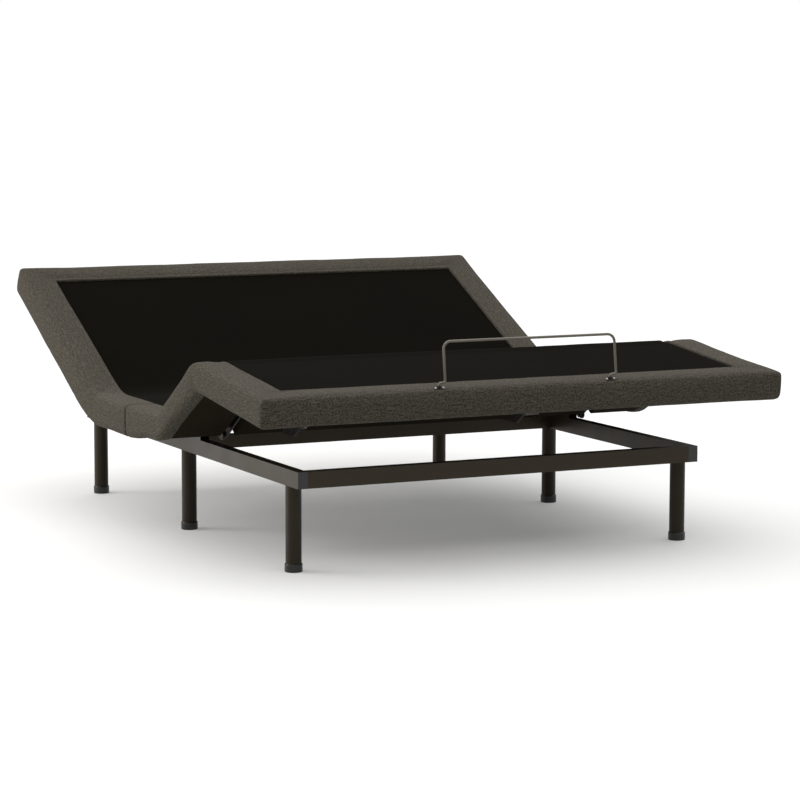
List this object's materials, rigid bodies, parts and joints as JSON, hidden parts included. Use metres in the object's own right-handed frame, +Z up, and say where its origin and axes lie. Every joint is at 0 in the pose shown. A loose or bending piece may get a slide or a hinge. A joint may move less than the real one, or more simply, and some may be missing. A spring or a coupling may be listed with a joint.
{
  "type": "adjustable bed base",
  "caption": "Queen-size powered bed base: upholstered deck hinged into head, seat, thigh and calf sections on a steel frame with round legs.",
  "frame": {"origin": "on the floor, in the middle of the outline seen from above, in the pose of the picture (head and knees raised)", "axes": "+Z up, +Y towards the head end, +X to the right for someone who stands at the foot end and looks at the head end"},
  "size_m": [1.524, 1.9368, 0.6831],
  "materials": {
    "deck_fabric": "charcoal tweed weave",
    "cover_cloth": "black non-woven cloth",
    "plywood": "black-faced plywood",
    "frame_paint": "dark bronze satin powder coat",
    "black_plastic": "black moulded",
    "nylon": "natural nylon",
    "mechanism_paint": "black satin paint",
    "hinge_steel": "black zinc plated",
    "bar_paint": "dark satin paint",
    "bright_zinc": "bright zinc",
    "motor_paint": "black satin",
    "rod_aluminium": "drawn"
  },
  "bodies": {
    "base": {"side_rail_left": "frame_paint", "side_rail_right": "frame_paint", "foot_cross_rail": "frame_paint", "middle_cross_rail": "frame_paint", "head_cross_rail": "frame_paint", "drive_cross_rail": "frame_paint", "rail_end_plugs": "black_plastic", "leg_foot_left": "frame_paint", "leg_foot_right": "frame_paint", "leg_middle_left": "frame_paint", "leg_middle_right": "frame_paint", "leg_head_left": "frame_paint", "leg_head_right": "frame_paint", "leg_caps": "black_plastic", "leg_studs": "bright_zinc", "seat_risers": "frame_paint", "pivot_plates": "frame_paint", "tube_bushes": "nylon", "drive_pins": "bright_zinc", "control_box": "black_plastic", "seat_panel": "plywood", "seat_cover": "cover_cloth", "seat_foam_front": "deck_fabric", "seat_foam_rear": "deck_fabric", "seat_hinge_leaves": "hinge_steel"},
    "head_deck": {"head_panel": "plywood", "head_cover": "cover_cloth", "head_foam": "deck_fabric", "head_hinge_leaves": "hinge_steel", "head_roller_tracks": "nylon"},
    "thigh_deck": {"thigh_panel": "plywood", "thigh_cover": "cover_cloth", "thigh_foam": "deck_fabric", "thigh_hinge_leaves": "hinge_steel", "thigh_roller_tracks": "nylon"},
    "calf_deck": {"calf_panel": "plywood", "calf_cover": "cover_cloth", "calf_foam": "deck_fabric", "calf_hinge_leaves": "hinge_steel", "calf_link_brackets": "mechanism_paint", "retainer_bar": "bar_paint", "retainer_brackets": "bar_paint", "retainer_screws": "bright_zinc"},
    "head_lift": {"head_torque_tube": "mechanism_paint", "head_lift_arms": "mechanism_paint", "head_lever": "mechanism_paint"},
    "head_rollers": {"head_rollers": "nylon"},
    "thigh_lift": {"thigh_torque_tube": "mechanism_paint", "thigh_lift_arms": "mechanism_paint", "thigh_lever": "mechanism_paint"},
    "thigh_rollers": {"thigh_rollers": "nylon"},
    "head_drive": {"head_drive_housing": "black_plastic", "head_drive_motor": "motor_paint", "head_drive_spindle": "bright_zinc"},
    "head_rod": {"head_drive_rod": "rod_aluminium"},
    "thigh_drive": {"thigh_drive_housing": "black_plastic", "thigh_drive_motor": "motor_paint", "thigh_drive_spindle": "bright_zinc"},
    "thigh_rod": {"thigh_drive_rod": "rod_aluminium"},
    "calf_links": {"calf_links": "mechanism_paint"}
  },
  "joints": [
    {"name": "head_hinge", "type": "hinge", "parent": "base", "child": "head_deck", "pos_m": [0, 0.27351, 0.352], "axis": [1, 0, 0], "range_deg": [-26, 34]},
    {"name": "thigh_hinge", "type": "hinge", "parent": "base", "child": "thigh_deck", "pos_m": [0, -0.23049, 0.352], "axis": [-1, 0, 0], "range_deg": [-32.2, 7.8]},
    {"name": "knee_hinge", "type": "hinge", "parent": "thigh_deck", "child": "calf_deck", "pos_m": [0, -0.50169, 0.52279], "axis": [1, 0, 0], "range_deg": [-38.33, 9.32]},
    {"name": "head_lift_pivot", "type": "hinge", "parent": "base", "child": "head_lift", "pos_m": [0, 0.15159, 0.3], "axis": [1, 0, 0], "range_deg": [-18.69, 24.43]},
    {"name": "thigh_lift_pivot", "type": "hinge", "parent": "base", "child": "thigh_lift", "pos_m": [0, 0.04159, 0.3], "axis": [-1, 0, 0], "range_deg": [-12.06, 2.96]},
    {"name": "head_roller_spin", "type": "hinge", "parent": "head_lift", "child": "head_rollers", "pos_m": [0, 0.57523, 0.45176], "axis": [1, 0, 0], "continuous": true},
    {"name": "thigh_roller_spin", "type": "hinge", "parent": "thigh_lift", "child": "thigh_rollers", "pos_m": [0, -0.38686, 0.40013], "axis": [1, 0, 0], "continuous": true},
    {"name": "head_drive_swing", "type": "hinge", "parent": "base", "child": "head_drive", "pos_m": [0.13, 0.48659, 0.245], "axis": [1, 0, 0], "range_deg": [-0.385, 0.487]},
    {"name": "head_rod_slide", "type": "slide", "parent": "head_drive", "child": "head_rod", "axis": [0, -0.9979, -0.0652], "range_m": [-0.03377, 0.0259]},
    {"name": "thigh_drive_swing", "type": "hinge", "parent": "base", "child": "thigh_drive", "pos_m": [-0.13, 0.48659, 0.245], "axis": [1, 0, 0], "range_deg": [-0.077, 0.056]},
    {"name": "thigh_rod_slide", "type": "slide", "parent": "thigh_drive", "child": "thigh_rod", "axis": [0, -0.9996, -0.029], "range_m": [-0.01453, 0.00375]},
    {"name": "calf_link_pivot", "type": "hinge", "parent": "base", "child": "calf_links", "pos_m": [0, -0.22211, 0.2912], "axis": [-1, 0, 0], "range_deg": [-31.77, 7.73]}
  ],
  "couplings": [
    {"joint": "knee_hinge", "follows": "thigh_hinge", "ratio": 1.1888},
    {"joint": "head_lift_pivot", "follows": "head_hinge", "ratio": 0.717},
    {"joint": "thigh_lift_pivot", "follows": "thigh_hinge", "ratio": 0.373},
    {"joint": "head_drive_swing", "follows": "head_hinge", "ratio": 0.012866},
    {"joint": "head_rod_slide", "follows": "head_hinge", "m_per_rad": -0.056404},
    {"joint": "thigh_drive_swing", "follows": "thigh_hinge", "ratio": 0.000823},
    {"joint": "thigh_rod_slide", "follows": "thigh_hinge", "m_per_rad": 0.025326},
    {"joint": "calf_link_pivot", "follows": "thigh_hinge", "ratio": 0.985}
  ]
}
